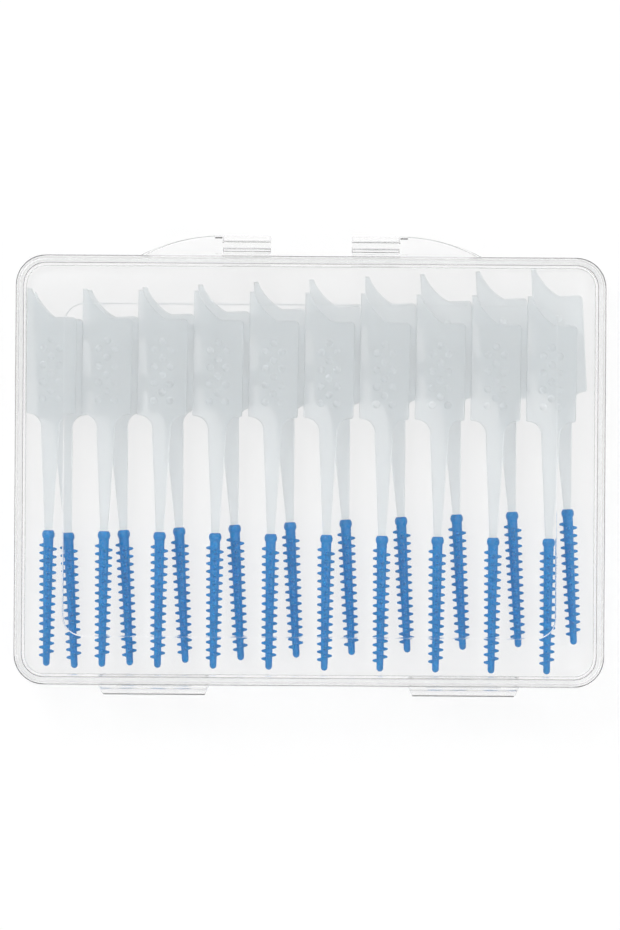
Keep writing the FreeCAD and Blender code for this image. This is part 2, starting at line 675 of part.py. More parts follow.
def handles():
    """The last handle of a card, and the others with their bridges."""
    last = fuse("end_handle", [blade(), neck(), needle(), *grip_dots()])
    upper = bridge(
        "upper_bridge",
        "Sizes.blade_height - Sizes.upper_bridge_drop - Sizes.upper_bridge_height",
        "Sizes.upper_bridge_height",
    )
    lower = bridge("lower_bridge", "Sizes.lower_bridge_rise", "Sizes.lower_bridge_height")
    return last, fuse("joined_handle", [last, upper, lower])


def nub_rows():
    """Four rows of nubs round the core, each row half a step from its neighbours."""
    sides = (
        (Rotation(Vector(0, 1, 0), -QUARTER_TURN), (-1, 0), 0.0),
        (Rotation(Vector(0, 1, 0), QUARTER_TURN), (1, 0), 0.5),
        (Rotation(), (0, 1), 0.5),
        (Rotation(Vector(0, 1, 0), 2 * QUARTER_TURN), (0, -1), 0.0),
    )
    room = measure("Sizes.tip_length - Sizes.nub_first - Sizes.nub_margin")
    nubs = []
    for turn, (across, out), start in sides:
        count = int(room / measure("Sizes.nub_pitch") - start) + 1
        for step in range(count):
            along = f"(Sizes.nub_first + {step + start} * Sizes.nub_pitch)"
            slope = f"(Sizes.core_radius - Sizes.core_end_radius) * {along} / {CORE_LENGTH}"
            root = f"(Sizes.core_radius - {slope} - Sizes.nub_sink)"
            nubs.append(cone(
                "nub", "Sizes.nub_root_radius", "Sizes.nub_tip_radius",
                "Sizes.nub_length + Sizes.nub_sink", turn,
                x=f"{across} * {root}", y=f"-({COLLAR} + {along})", z=f"{out} * {root}",
            ))
    return nubs


def rubber_tip():
    """Soft sleeve: round collar, tapering core, rounded end and rows of nubs."""
    drop = f"sqrt({BULB_RADIUS} ^ 2 - Sizes.neck_end_radius ^ 2)"
    bulb = ball("bulb", BULB_RADIUS, y=f"-({COLLAR} + {drop})")
    core = quartered_cone("core", "Sizes.core_radius", "Sizes.core_end_radius", CORE_LENGTH,
                          y=f"-{COLLAR}")
    end = ball("core_end", "Sizes.core_end_radius", y=f"-({COLLAR} + {CORE_LENGTH})")
    body = fuse("tip_body", [bulb, end, *core, *nub_rows()], refine=False)

    above = doc.addObject("Part::Box", "above_the_tip")
    bind(above, Length=f"4 * {BULB_RADIUS}", Width=f"2 * {BULB_RADIUS}", Height=f"4 * {BULB_RADIUS}",
         Placement__Base__x=f"-2 * {BULB_RADIUS}", Placement__Base__z=f"-2 * {BULB_RADIUS}",
         Placement__Base__y=f"-{COLLAR} - Sizes.moulding_gap")
    needle_hole = quartered_cone(
        "needle_hole", "Sizes.needle_radius + Sizes.moulding_gap",
        "Sizes.needle_end_radius + Sizes.moulding_gap", f"{NEEDLE_LENGTH} + Sizes.moulding_gap",
        y=f"-{COLLAR}")
    hole = fuse("tip_hole", [above, *needle_hole], refine=False)
    tip = doc.addObject("Part::Cut", "rubber_tip")
    tip.Base = body
    tip.Tool = hole
    return tip


def laid_copy(source, name, lay, layer, position):
    """Copy of a brush piece at its place in a card and the card's place in the case."""
    turn, shift_x, shift_y = lay
    copy = doc.addObject("Part::Compound", name)
    copy.Links = [source]
    copy.Placement = Placement(Vector(), Rotation(NORMAL, measure(f"{turn} / 1 deg")))
    along = f"({position - (BRUSHES_PER_CARD - 1) / 2} * Sizes.brush_pitch)"
    bind(
        copy,
        Placement__Base__x=f"{shift_x} + {along} * cos({turn}) - {BRUSH_MIDDLE} * sin({turn})",
        Placement__Base__y=f"{shift_y} + {along} * sin({turn}) + {BRUSH_MIDDLE} * cos({turn})",
        Placement__Base__z=f"Sizes.floor_thickness + Sizes.card_clearance + {BRUSH_DEPTH} / 2"
                           f" + {layer} * ({BRUSH_DEPTH} + Sizes.card_clearance)",
    )
    return copy


def cards():
    """Two stacked cards of brushes, each brush a handle and a rubber tip."""
    last, joined = handles()
    tip = rubber_tip()
    pieces = []
    for layer, (card, lay) in enumerate(CARDS.items()):
        for position in range(BRUSHES_PER_CARD):
            number = f"{position + 1:02d}"
            handle = last if position == BRUSHES_PER_CARD - 1 else joined
            pieces.append(laid_copy(handle, f"{card}_handle_{number}", lay, layer, position))
            pieces.append(laid_copy(tip, f"{card}_tip_{number}", lay, layer, position))
    return pieces


# Build, check and write

def check(pieces):
    """Stop if any object of the document failed or a piece isn't one valid solid."""
    for item in doc.Objects:
        if {"Invalid", "Error"} & set(item.State):
            raise RuntimeError(f"{item.Label} failed: {item.State}")
    for piece in pieces:
        shape = piece.Shape
        if shape.isNull() or not shape.isValid() or len(shape.Solids) != 1:
            raise RuntimeError(f"{piece.Label} isn't one valid solid")


def main():
    fill_sheet()
    tongue = right_latch()
    pieces = [case_base(), case_lid(), tongue, left_latch(tongue), *cards()]
    doc.recompute()
    check(pieces)
    os.makedirs("parts", exist_ok=True)
    for piece in pieces:
        piece.Shape.exportStep(f"parts/{piece.Label}.step")


main()
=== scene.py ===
"""Looks of a clear hinged pocket case with two break-off cards of soft interdental brushes.

Shapes are modelled in millimetres in the frame of the case: X along the case, +Y towards the
hinge, +Z up, and the origin in the middle of the underside. A finished piece is scaled to metres.
"""

import json
import math
from types import SimpleNamespace

import bmesh
import bpy
from bpy.props import FloatProperty, FloatVectorProperty, IntProperty, PointerProperty
from mathutils import Matrix, Vector


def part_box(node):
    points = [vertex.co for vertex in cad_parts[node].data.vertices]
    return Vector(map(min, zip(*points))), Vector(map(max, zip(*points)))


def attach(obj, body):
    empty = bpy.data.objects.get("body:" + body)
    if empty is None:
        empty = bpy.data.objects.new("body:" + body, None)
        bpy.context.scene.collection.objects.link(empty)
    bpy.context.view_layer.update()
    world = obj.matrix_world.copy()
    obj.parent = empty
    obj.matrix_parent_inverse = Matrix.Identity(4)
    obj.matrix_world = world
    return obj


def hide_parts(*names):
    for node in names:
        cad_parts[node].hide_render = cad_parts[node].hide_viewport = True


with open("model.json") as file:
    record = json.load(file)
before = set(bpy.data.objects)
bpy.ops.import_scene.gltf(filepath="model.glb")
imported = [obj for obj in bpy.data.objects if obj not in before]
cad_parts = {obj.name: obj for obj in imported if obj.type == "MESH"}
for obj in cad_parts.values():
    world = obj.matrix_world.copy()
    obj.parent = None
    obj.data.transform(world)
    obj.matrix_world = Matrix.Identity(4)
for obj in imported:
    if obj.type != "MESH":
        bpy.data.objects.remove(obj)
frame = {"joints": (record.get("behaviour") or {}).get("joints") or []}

bl_info = {
    "name": "Interdental brush case",
    "version": (1, 0, 0),
    "blender": (4, 5, 0),
    "location": "View3D > Sidebar > Brush case",
    "description": "Builds a clear hinged case with two cards of interdental brushes",
    "category": "Object",
}

MM = 0.001
# Places closer than this, in millimetres, count as the same.
NEAR = 1e-3
# Edges that turn by more than this stay sharp in the shading.
SHARP_ANGLE = math.radians(40)
# How far a cutting shape reaches past what it cuts, in millimetres.
OVERCUT = 1.0
# Height of the raised panel above the lid's top, in millimetres.
PANEL_RISE = 0.35
CARDS = ("lower", "upper")
BRUSHES = 10

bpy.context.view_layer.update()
JOINTS = {joint["name"]: joint for joint in frame["joints"]}


def joint_place(name):
    """Where a joint of the frame sits, in millimetres."""
    return Vector(JOINTS[name]["pos_m"]) / MM


def node_box(name):
    """The lowest and the highest corner of a node of the frame, in millimetres."""
    low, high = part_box(name)
    return low / MM, high / MM


def box_middle(name):
    """The middle of a node's box, in millimetres."""
    low, high = node_box(name)
    return (low + high) / 2


HINGE = joint_place("lid_hinge")
FLEXURE = joint_place("right_latch_flex")
BASE_LOW, BASE_HIGH = node_box("case_base")
LID_TOP = node_box("case_lid")[1].z
LATCH_LOW, LATCH_HIGH = node_box("right_latch")


# Sizes and colours

def linear(code):
    """Linear colour, with full alpha, of an sRGB hex value."""
    channels = [int(code[i:i + 2], 16) / 255 for i in (1, 3, 5)]
    return (*(c / 12.92 if c <= 0.04045 else ((c + 0.055) / 1.055) ** 2.4 for c in channels), 1.0)


def length(name, description, millimetres_long):
    """A length property that is written in millimetres and kept in metres."""
    return FloatProperty(name=name, description=description, default=millimetres_long * MM,
                         unit="LENGTH", precision=5)


def colour(name, description, code):
    """A colour property that is written as an sRGB hex value and kept linear."""
    return FloatVectorProperty(name=name, description=description, subtype="COLOR", size=4,
                               min=0.0, max=1.0, default=linear(code))


def millimetres(group):
    """The lengths of a group of sizes in millimetres."""
    lengths = [size.identifier for size in group.bl_rna.properties
               if getattr(size, "unit", "") == "LENGTH"]
    return SimpleNamespace(**{name: getattr(group, name) / MM for name in lengths})


class CaseSizes(bpy.types.PropertyGroup):
    """Sizes of the clear case"""

    length: length("Length", "Case along its long side", BASE_HIGH.x - BASE_LOW.x)
    width: length("Width", "Case from the latch side to the hinge side", 68.8)
    parting: length("Parting height", "Height at which the base and the lid meet", HINGE.z)
    top: length("Top height", "Height of the lid's top beside the raised panel",
                LID_TOP - PANEL_RISE)
    wall: length("Wall", "Thickness of the side walls", 1.25)
    floor: length("Floor", "Thickness of the base's floor", 1.2)
    roof: length("Roof", "Thickness of the lid's roof", 1.2)
    corner: length("Corner", "Outer radius of the upright corners", 4.8)
    edge: length("Edge", "Rounding of the outer top and bottom edges", 0.9)
    inner_edge: length("Inner edge", "Rounding where the walls meet floor and roof", 0.6)
    soft_edge: length("Soft edge", "Small rounding of the other moulded edges", 0.15)
    lip_height: length("Lip height", "Height of the lip on the base's rim", 1.0)
    lip: length("Lip", "Thickness of the lip", 0.55)
    lip_room: length("Lip clearance", "Room between the lip and the lid", 0.1)
    panel_inset: length("Panel inset", "Distance of the raised panel from the case's sides", 7.7)
    panel_corner: length("Panel corner", "Corner radius of the raised panel", 3.4)
    panel_rise: length("Panel rise", "Height of the panel above the lid's top", PANEL_RISE)
    panel_edge: length("Panel edge", "Rounding of the panel's edge", 0.25)
    weld: length("Weld", "How far an added form reaches into the wall that carries it", 0.35)


class HingeSizes(bpy.types.PropertyGroup):
    """Sizes of the hinge"""

    barrel: length("Barrel radius", "Outer radius of the clips and bosses", 1.5)
    pin: length("Pin radius", "Radius of the hinge pins", 0.75)
    bore: length("Bore radius", "Radius of the clips' bores", 0.83)
    mouth: length("Mouth", "Width of the slot by which a clip snaps over its pin", 1.2)
    clip_start: length("Clip start", "Distance of a clip from the case's middle", 6.5)
    clip_end: length("Clip end", "Far end of a clip from the case's middle", 14.1)
    clip_rise: length("Clip rise", "Height of a clip's web above the parting line", 0.2)
    ear_start: length("Ear start", "Distance of an ear from the case's middle", 14.25)
    ear_end: length("Ear end", "Where an ear runs out into the back wall", 27.55)
    ear_height: length("Ear height", "Height of an ear below the parting line", 2.2)
    ear_edge: length("Ear edge", "Rounding of an ear's curved edge", 0.45)
    boss: length("Boss", "Length of the round boss at the end of an ear", 1.2)


class LatchSizes(bpy.types.PropertyGroup):
    """Sizes of the two snap latches"""

    start: length("Start", "Near end of a latch from the case's middle", LATCH_LOW.x)
    end: length("End", "Far end of a latch from the case's middle", LATCH_HIGH.x)
    taper: length("Taper", "How far a latch's ends slant in towards its outer face", 0.8)
    thickness: length("Thickness", "Thickness of a tongue", 0.9)
    lug: length("Lug height", "Height of the lug that carries a tongue", 1.0)
    groove: length("Groove radius", "Radius of the groove that a tongue flexes in", 0.5)
    finger_lip: length("Finger lip", "How far the finger lip stands out", 0.3)
    finger_height: length("Finger lip height", "Height of the finger lip", 0.9)
    bead: length("Bead", "How far the bead stands in behind the catch", 0.2)
    bead_height: length("Bead height", "Height of the bead", 0.8)
    bead_rise: length("Bead rise", "Height of the bead above the tongue's end", 0.5)
    catch_width: length("Catch width", "Length of the catch on the base", 12.0)
    catch_height: length("Catch height", "Height of the catch", 0.9)
    catch: length("Catch", "How far the catch stands out of the base", 0.25)


class HandleSizes(bpy.types.PropertyGroup):
    """Sizes of a brush's handle"""

    width: length("Blade width", "Width of the flat blade", 8.0)
    height: length("Blade height", "Blade from its shoulders to its top edge", 15.5)
    thickness: length("Blade thickness", "Thickness of the blade", 1.8)
    edge: length("Blade edge", "Rounding of the blade's edges", 0.2)
    corner: length("Blade corner", "Rounding of the blade's plain top corner", 0.7)
    spike: length("Spike height", "Height of the pointed corner above the blade", 4.6)
    spike_tip: length("Spike tip", "Width of the pointed corner at its top", 0.7)
    spike_run: length("Spike run", "Width of the pointed corner at the blade's top edge", 4.4)
    flank_width: length("Flank width", "Width of the pointed corner where its flank bends", 1.56)
    flank_height: length("Flank height", "Height at which the flank bends", 1.51)
    flank_round: length("Flank round", "Run of the rounding along the flank", 3.15)
    shoulder_flat: length("Shoulder flat", "Lower edge of the blade beside the shoulder", 0.35)
    shoulder_round: length("Shoulder round", "Rounding of the blade's lower corners", 0.3)
    neck: length("Neck width", "Width of the neck at its root", 2.9)
    neck_root: length("Neck root", "Flat stretch of the neck below the shoulders", 1.0)
    neck_length: length("Neck length", "Neck from the shoulders to the rubber", 16.5)
    neck_end: length("Neck end radius", "Radius of the neck at the rubber", 0.75)
    needle: length("Needle radius", "Radius of the needle at its root", 0.48)
    needle_end: length("Needle end radius", "Radius of the needle at its end", 0.25)
    needle_length: length("Needle length", "Length of the needle inside the rubber", 20.2)
    dot: length("Dot radius", "Radius of a grip dot", 0.6)
    dot_rise: length("Dot rise", "Height of a grip dot above the blade", 0.15)
    dot_start: length("Dot start", "First row of dots below the blade's top edge", 3.6)
    dot_pitch: length("Dot pitch", "Distance between the rows of dots", 1.36)
    dot_spread: length("Dot spread", "Distance of the outer dots from the blade's middle", 1.28)
    dot_rows: IntProperty(name="Dot rows", description="Rows of grip dots", default=8, min=0)
    bridge: length("Bridge thickness", "Thickness of the bridges between blades", 1.5)
    bridge_end: length("Bridge end", "Thickness of a bridge where it breaks off", 1.2)
    bridge_sink: length("Bridge sink", "How far a bridge starts inside its blade", 0.6)
    score: length("Score", "Gap at which a bridge breaks off", 0.03)
    high_bridge: length("High bridge", "Lower end of the upper bridge", 11.9)
    high_bridge_height: length("High bridge height", "Height of the upper bridge", 2.8)
    low_bridge: length("Low bridge", "Lower end of the lower bridge", 3.6)
    low_bridge_height: length("Low bridge height", "Height of the lower bridge", 2.6)


class TipSizes(bpy.types.PropertyGroup):
    """Sizes of a brush's rubber tip"""

    length: length("Length", "Rubber tip from the neck to its end", 21.8)
    core: length("Core radius", "Radius of the core at its root", 0.83)
    core_end: length("Core end radius", "Radius of the core at its round end", 0.55)
    bulb: length("Bulb radius", "Radius of the round collar at the neck", 1.02)
    gap: length("Moulding gap", "Room between the rubber and the needle", 0.02)
    nub: length("Nub radius", "Radius of a nub at its root", 0.38)
    nub_end: length("Nub end radius", "Radius of a nub at its end", 0.15)
    nub_round: length("Nub round", "Rounding of a nub's end", 0.09)
    nub_reach: length("Nub reach", "Distance of the first nubs' ends from the tip's axis", 1.45)
    nub_reach_end: length("Last nub reach", "Distance of the last nubs' ends from the axis", 1.17)
    nub_sink: length("Nub sink", "How far a nub starts inside the core", 0.15)
    nub_start: length("Nub start", "First nubs below the neck", 2.4)
    nub_pitch: length("Nub pitch", "Distance between the nubs of a row", 1.26)
    nub_margin: length("Nub margin", "Bare stretch at the tip's end", 1.3)


class Finishes(bpy.types.PropertyGroup):
    """Colours of the case, the brushes and the paper"""

    clear: colour("Clear case", "Tint of the clear plastic's surface", "#FFFFFF")
    clear_depth: colour("Clear case depth", "What long runs through the plastic turn to",
                        "#8E979C")
    handle: colour("Handles", "Milky plastic of the handles", "#F6F9FA")
    handle_flow: colour("Handle flow", "Slightly denser streaks in the handles", "#F0F4F6")
    rubber: colour("Rubber", "Blue rubber of the tips", "#028FD4")
    rubber_deep: colour("Rubber depth", "Darker patches of the rubber", "#026CAE")
    paper: colour("Paper", "White paper under the case", "#FAFAFA")


# Mesh helpers

def rounded_plate(plate_length, plate_width, radius, height, segments=10):
    """Flat rounded rectangle round the Z axis, made from a single square."""
    bm = bmesh.new()
    bmesh.ops.create_grid(bm, x_segments=1, y_segments=1, size=0.5)
    bmesh.ops.scale(bm, vec=(plate_length, plate_width, 1.0), verts=bm.verts[:])
    bmesh.ops.translate(bm, vec=(0.0, 0.0, height), verts=bm.verts[:])
    round_corners(bm, bm.verts[:], radius, segments=segments)
    return bm


def round_corners(bm, verts, run, segments):
    """Round corners of a flat outline over a run along both of their sides."""
    bmesh.ops.bevel(bm, geom=verts, offset=run, offset_type="OFFSET", segments=segments,
                    profile=0.5, affect="VERTICES", material=-1)


def soften(bm, edges, radius, segments=2):
    """Round edges of a solid."""
    bmesh.ops.bevel(bm, geom=edges, offset=radius, offset_type="OFFSET", segments=segments,
                    profile=0.5, affect="EDGES", material=-1)


def outline(points):
    """A flat face through a few points, and its corners in their order."""
    bm = bmesh.new()
    corners = [bm.verts.new(point) for point in points]
    bm.faces.new(corners)
    return bm, corners


def draw_out(bm, faces, way):
    """Pull faces out of a mesh, with new walls along the way, and give the pulled faces back."""
    edges = {edge for face in faces for edge in face.edges}
    made = bmesh.ops.extrude_face_region(bm, geom=[*faces, *edges])["geom"]
    moved = [item for item in made if isinstance(item, bmesh.types.BMVert)]
    bmesh.ops.translate(bm, vec=way, verts=moved)
    return [item for item in made if isinstance(item, bmesh.types.BMFace)]


def step_in(bm, faces, distance):
    """Shrink flat faces by an even distance, with a flat step left round them."""
    bmesh.ops.inset_region(bm, faces=faces, thickness=distance, depth=0.0,
                           use_even_offset=True, use_boundary=True)


def edges_at(bm, test):
    """Edges whose two ends both pass a test of their place."""
    return [edge for edge in bm.edges if all(test(vert.co) for vert in edge.verts)]


def level(height):
    """Test for places at a height."""
    return lambda place: abs(place.z - height) < NEAR


def upright_walls(edge, lowest, highest):
    """Whether an edge borders an upright face whose middle is between two heights."""
    return any(abs(face.normal.z) < NEAR and lowest < face.calc_center_median().z < highest
               for face in edge.link_faces)


def bar(bm, radius, start, end, y, z, segments=32):
    """Round bar along X, and its end edges."""
    place = Matrix.Translation(((start + end) / 2, y, z)) @ Matrix.Rotation(math.pi / 2, 4, "Y")
    verts = bmesh.ops.create_cone(
        bm, cap_ends=True, segments=segments, radius1=radius, radius2=radius,
        depth=end - start, matrix=place)["verts"]
    ends = {edge for vert in verts for edge in vert.link_edges
            if abs(edge.verts[0].co.x - edge.verts[1].co.x) < NEAR}
    return list(ends)


def block(bm, low, high):
    """Box between two corners, and its vertices."""
    low, high = Vector(low), Vector(high)
    place = Matrix.Translation((low + high) / 2) @ Matrix.Diagonal((*(high - low), 1.0))
    return bmesh.ops.create_cube(bm, size=1.0, matrix=place)["verts"]


def mirrored(bm):
    """Add the left-hand half of a pair."""
    bmesh.ops.mirror(bm, geom=bm.verts[:] + bm.edges[:] + bm.faces[:], axis="X", merge_dist=0.0)
    bmesh.ops.recalc_face_normals(bm, faces=bm.faces[:])
    return bm


def combine(bm, tool, operation):
    """Join a closed shape to another or cut it away, and give the new shape back."""
    items = []
    for shape in (bm, tool):
        bmesh.ops.recalc_face_normals(shape, faces=shape.faces[:])
        mesh = bpy.data.meshes.new("shape")
        shape.to_mesh(mesh)
        shape.free()
        item = bpy.data.objects.new("shape", mesh)
        bpy.context.scene.collection.objects.link(item)
        items.append(item)
    modifier = items[0].modifiers.new("Combine", "BOOLEAN")
    modifier.operation = operation
    modifier.solver = "EXACT"
    modifier.object = items[1]
    result = bmesh.new()
    result.from_object(items[0], bpy.context.evaluated_depsgraph_get())
    for item in items:
        bpy.data.meshes.remove(item.data)
    if not result.faces:
        raise RuntimeError("Two shapes could not be combined.")
    return result


def finish_piece(name, bm, material, body, node):
    """Turn a shape into a piece that rides on a body and stands for a node of the frame."""
    bmesh.ops.remove_doubles(bm, verts=bm.verts[:], dist=NEAR)
    bmesh.ops.dissolve_degenerate(bm, dist=NEAR, edges=bm.edges[:])
    bmesh.ops.recalc_face_normals(bm, faces=bm.faces[:])
    open_edges = sum(not edge.is_manifold for edge in bm.edges)
    if open_edges:
        raise RuntimeError(f"{name} has {open_edges} open edges.")
    bmesh.ops.scale(bm, vec=(MM, MM, MM), verts=bm.verts[:])
    mesh = bpy.data.meshes.new(name)
    bm.to_mesh(mesh)
    bm.free()
    mesh.materials.append(material)
    mesh.polygons.foreach_set("use_smooth", [True] * len(mesh.polygons))
    mesh.set_sharp_from_angle(angle=SHARP_ANGLE)
    piece = bpy.data.objects.new(name, mesh)
    bpy.context.scene.collection.objects.link(piece)
    even = piece.modifiers.new("Even shading", "WEIGHTED_NORMAL")
    even.keep_sharp = True
    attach(piece, body)
    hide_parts(node)


# Materials

def add_node(tree, kind, values=None, links=None, **settings):
    """Add a node with its settings, the values of its sockets and the links into them."""
    node = tree.nodes.new(kind)
    for name, value in settings.items():
        setattr(node, name, value)
    for socket, value in (values or {}).items():
        node.inputs[socket].default_value = value
    for socket, source in (links or {}).items():
        tree.links.new(source, node.inputs[socket])
    return node


def noise(tree, place, size_mm, detail, distortion=0.0):
    """Noise that is fixed to the piece, with features of a size in millimetres."""
    return add_node(tree, "ShaderNodeTexNoise",
                    {"Scale": 1.0 / (size_mm * MM), "Detail": detail, "Distortion": distortion},
                    {"Vector": place.outputs["Object"]})


def blend(tree, pattern, first, second):
    """Colour that follows a pattern."""
    return add_node(tree, "ShaderNodeMix", {"A": first, "B": second},
                    {"Factor": pattern.outputs["Fac"]}, data_type="RGBA")


def bumps(tree, pattern, strength, depth_mm):
    """Relief that follows a pattern."""
    return add_node(tree, "ShaderNodeBump", {"Strength": strength, "Distance": depth_mm * MM},
                    {"Height": pattern.outputs["Fac"]})


def dulling(tree, pattern, least, most):
    """Roughness that follows a pattern."""
    return add_node(tree, "ShaderNodeMapRange", {"To Min": least, "To Max": most},
                    {"Value": pattern.outputs["Fac"]})


def material_named(name, fill):
    """The material of that name, filled with its nodes the first time that it is asked for."""
    if name in bpy.data.materials:
        return bpy.data.materials[name]
    material = bpy.data.materials.new(name)
    material.use_nodes = True
    material.node_tree.nodes.clear()
    fill(material.node_tree)
    return material


def clear_plastic(finishes):
    """Clarified polypropylene from a polished mould."""
    def fill(tree):
        # Flow waves some 9 mm long bend what is seen through the walls a little, and fine
        # handling haze some 0.4 mm wide dulls the reflections here and there.
        place = add_node(tree, "ShaderNodeTexCoord")
        flow = noise(tree, place, size_mm=9.0, detail=1.0)
        waves = bumps(tree, flow, strength=0.03, depth_mm=0.05)
        haze = noise(tree, place, size_mm=0.4, detail=3.0)
        dull = dulling(tree, haze, least=0.02, most=0.05)
        surface = add_node(
            tree, "ShaderNodeBsdfPrincipled",
            {"Base Color": finishes.clear, "Transmission Weight": 1.0, "IOR": 1.49},
            {"Roughness": dull.outputs["Result"], "Normal": waves.outputs["Normal"]})
        # A wall seen end on is a long run through the plastic, which turns it grey.
        depth = add_node(tree, "ShaderNodeVolumeAbsorption",
                         {"Color": finishes.clear_depth, "Density": 4.0})
        add_node(tree, "ShaderNodeOutputMaterial", None,
                 {"Surface": surface.outputs["BSDF"], "Volume": depth.outputs["Volume"]})
    return material_named("Clear polypropylene, polished mould", fill)


def milky_plastic(finishes):
    """Natural polypropylene, injection moulded."""
    def fill(tree):
        # Milky and a little see-through: what lies close behind shows softly. Denser streaks
        # some 3 mm wide follow the melt's flow, and the mould leaves a fine 0.15 mm grain.
        place = add_node(tree, "ShaderNodeTexCoord")
        streaks = noise(tree, place, size_mm=3.0, detail=2.0, distortion=0.6)
        tone = blend(tree, streaks, finishes.handle, finishes.handle_flow)
        grain = noise(tree, place, size_mm=0.15, detail=2.0)
        relief = bumps(tree, grain, strength=0.15, depth_mm=0.02)
        dull = dulling(tree, grain, least=0.26, most=0.36)
        surface = add_node(
            tree, "ShaderNodeBsdfPrincipled", {"Transmission Weight": 0.7, "IOR": 1.49},
            {"Base Color": tone.outputs["Result"], "Roughness": dull.outputs["Result"],
             "Normal": relief.outputs["Normal"]})
        add_node(tree, "ShaderNodeOutputMaterial", None, {"Surface": surface.outputs["BSDF"]})
    return material_named("Natural polypropylene, moulded", fill)


def blue_rubber(finishes):
    """Thermoplastic elastomer, moulded over the needle."""
    def fill(tree):
        # Soft with a satin sheen, a faint mottle some 0.8 mm wide and a sparkling 0.2 mm grain.
        place = add_node(tree, "ShaderNodeTexCoord")
        mottle = noise(tree, place, size_mm=0.8, detail=3.0)
        tone = blend(tree, mottle, finishes.rubber, finishes.rubber_deep)
        grain = noise(tree, place, size_mm=0.2, detail=2.0)
        relief = bumps(tree, grain, strength=0.7, depth_mm=0.05)
        dull = dulling(tree, mottle, least=0.22, most=0.34)
        surface = add_node(
            tree, "ShaderNodeBsdfPrincipled",
            {"IOR": 1.5, "Subsurface Weight": 0.15, "Subsurface Radius": (0.2, 0.4, 0.8),
             "Subsurface Scale": 0.4 * MM},
            {"Base Color": tone.outputs["Result"], "Roughness": dull.outputs["Result"],
             "Normal": relief.outputs["Normal"]})
        add_node(tree, "ShaderNodeOutputMaterial", None, {"Surface": surface.outputs["BSDF"]})
    return material_named("Blue elastomer, moulded", fill)


def white_paper(finishes):
    """Matte white paper."""
    def fill(tree):
        # The paper keeps the case's shadow, and where the camera sees it directly or through
        # the plastic it is lifted most of the way to a plain white.
        lift = 0.75
        paper = add_node(tree, "ShaderNodeBsdfDiffuse", {"Color": finishes.paper})
        path = add_node(tree, "ShaderNodeLightPath")
        seen = add_node(tree, "ShaderNodeMath", None,
                        {0: path.outputs["Is Camera Ray"], 1: path.outputs["Is Glossy Ray"]},
                        operation="MAXIMUM")
        seen = add_node(tree, "ShaderNodeMath", None,
                        {0: seen.outputs["Value"], 1: path.outputs["Is Transmission Ray"]},
                        operation="MAXIMUM")
        white = add_node(tree, "ShaderNodeEmission", {"Strength": 1.0})
        plain = add_node(tree, "ShaderNodeMath", {1: lift}, {0: seen.outputs["Value"]},
                         operation="MULTIPLY")
        mixed = add_node(tree, "ShaderNodeMixShader", None,
                         {0: plain.outputs["Value"], 1: paper.outputs["BSDF"],
                          2: white.outputs["Emission"]})
        add_node(tree, "ShaderNodeOutputMaterial", None, {"Surface": mixed.outputs["Shader"]})
    return material_named("Matte white paper", fill)


# Case

def tray_shape(case):
    """Tray with its lip: a rounded plate drawn up, stepped in and hollowed."""
    bm = rounded_plate(case.length, case.width, case.corner, 0.0)
    top = draw_out(bm, bm.faces[:], (0.0, 0.0, case.parting))
    step_in(bm, top, case.wall - case.lip)
    top = draw_out(bm, top, (0.0, 0.0, case.lip_height))
    step_in(bm, top, case.lip)
    draw_out(bm, top, (0.0, 0.0, case.floor - case.parting - case.lip_height))
    bmesh.ops.recalc_face_normals(bm, faces=bm.faces[:])
    bm.normal_update()
    rim = [edge for edge in edges_at(bm, level(case.parting))
           if upright_walls(edge, 0.0, case.parting)]
    soften(bm, rim, case.soft_edge)
    soften(bm, edges_at(bm, level(case.parting + case.lip_height)), case.soft_edge)
    soften(bm, edges_at(bm, level(case.floor)), case.inner_edge, segments=4)
    soften(bm, edges_at(bm, level(0.0)), case.edge, segments=6)
    return bm


def ear_shape(case, hinge):
    """The two ears on the back wall, each running out in a long arc."""
    back = case.width / 2
    reach = HINGE.y + hinge.barrel - back
    run = hinge.ear_end - hinge.ear_start
    radius = (run ** 2 + reach ** 2) / (2 * reach)
    bottom = case.parting - hinge.ear_height
    bm = bmesh.new()
    first = bm.verts.new((hinge.ear_start, back + reach, bottom))
    bmesh.ops.spin(bm, geom=[first], cent=(hinge.ear_start, back + reach - radius, bottom),
                   axis=(0.0, 0.0, 1.0), angle=-math.asin(run / radius), steps=10)
    last = max(bm.verts, key=lambda vert: vert.co.x)
    feet = [bm.verts.new((x, back - case.weld, bottom)) for x in (hinge.ear_end, hinge.ear_start)]
    for ends in ((last, feet[0]), feet, (feet[1], first)):
        bm.edges.new(ends)
    bmesh.ops.contextual_create(bm, geom=bm.edges[:])
    draw_out(bm, bm.faces[:], (0.0, 0.0, hinge.ear_height))
    bmesh.ops.recalc_face_normals(bm, faces=bm.faces[:])
    soft = [edge for edge in bm.edges if edge.calc_face_angle() > SHARP_ANGLE
            and any(vert.co.y > back - NEAR for vert in edge.verts)
            and max(vert.co.x for vert in edge.verts) > hinge.ear_start + NEAR]
    soften(bm, soft, hinge.ear_edge, segments=4)
    return mirrored(bm)


def boss_shape(hinge):
    """The round bosses at the ears' inner ends."""
    bm = bmesh.new()
    bar(bm, hinge.barrel, hinge.ear_start, hinge.ear_start + hinge.boss, HINGE.y, HINGE.z)
    return mirrored(bm)


def pin_shape(case, hinge):
    """The two pins that the lid's clips turn on."""
    bm = bmesh.new()
    ends = bar(bm, hinge.pin, hinge.clip_start, hinge.ear_start + case.weld, HINGE.y, HINGE.z)
    near = [edge for edge in ends if edge.verts[0].co.x < hinge.clip_end]
    soften(bm, near, case.soft_edge)
    return mirrored(bm)


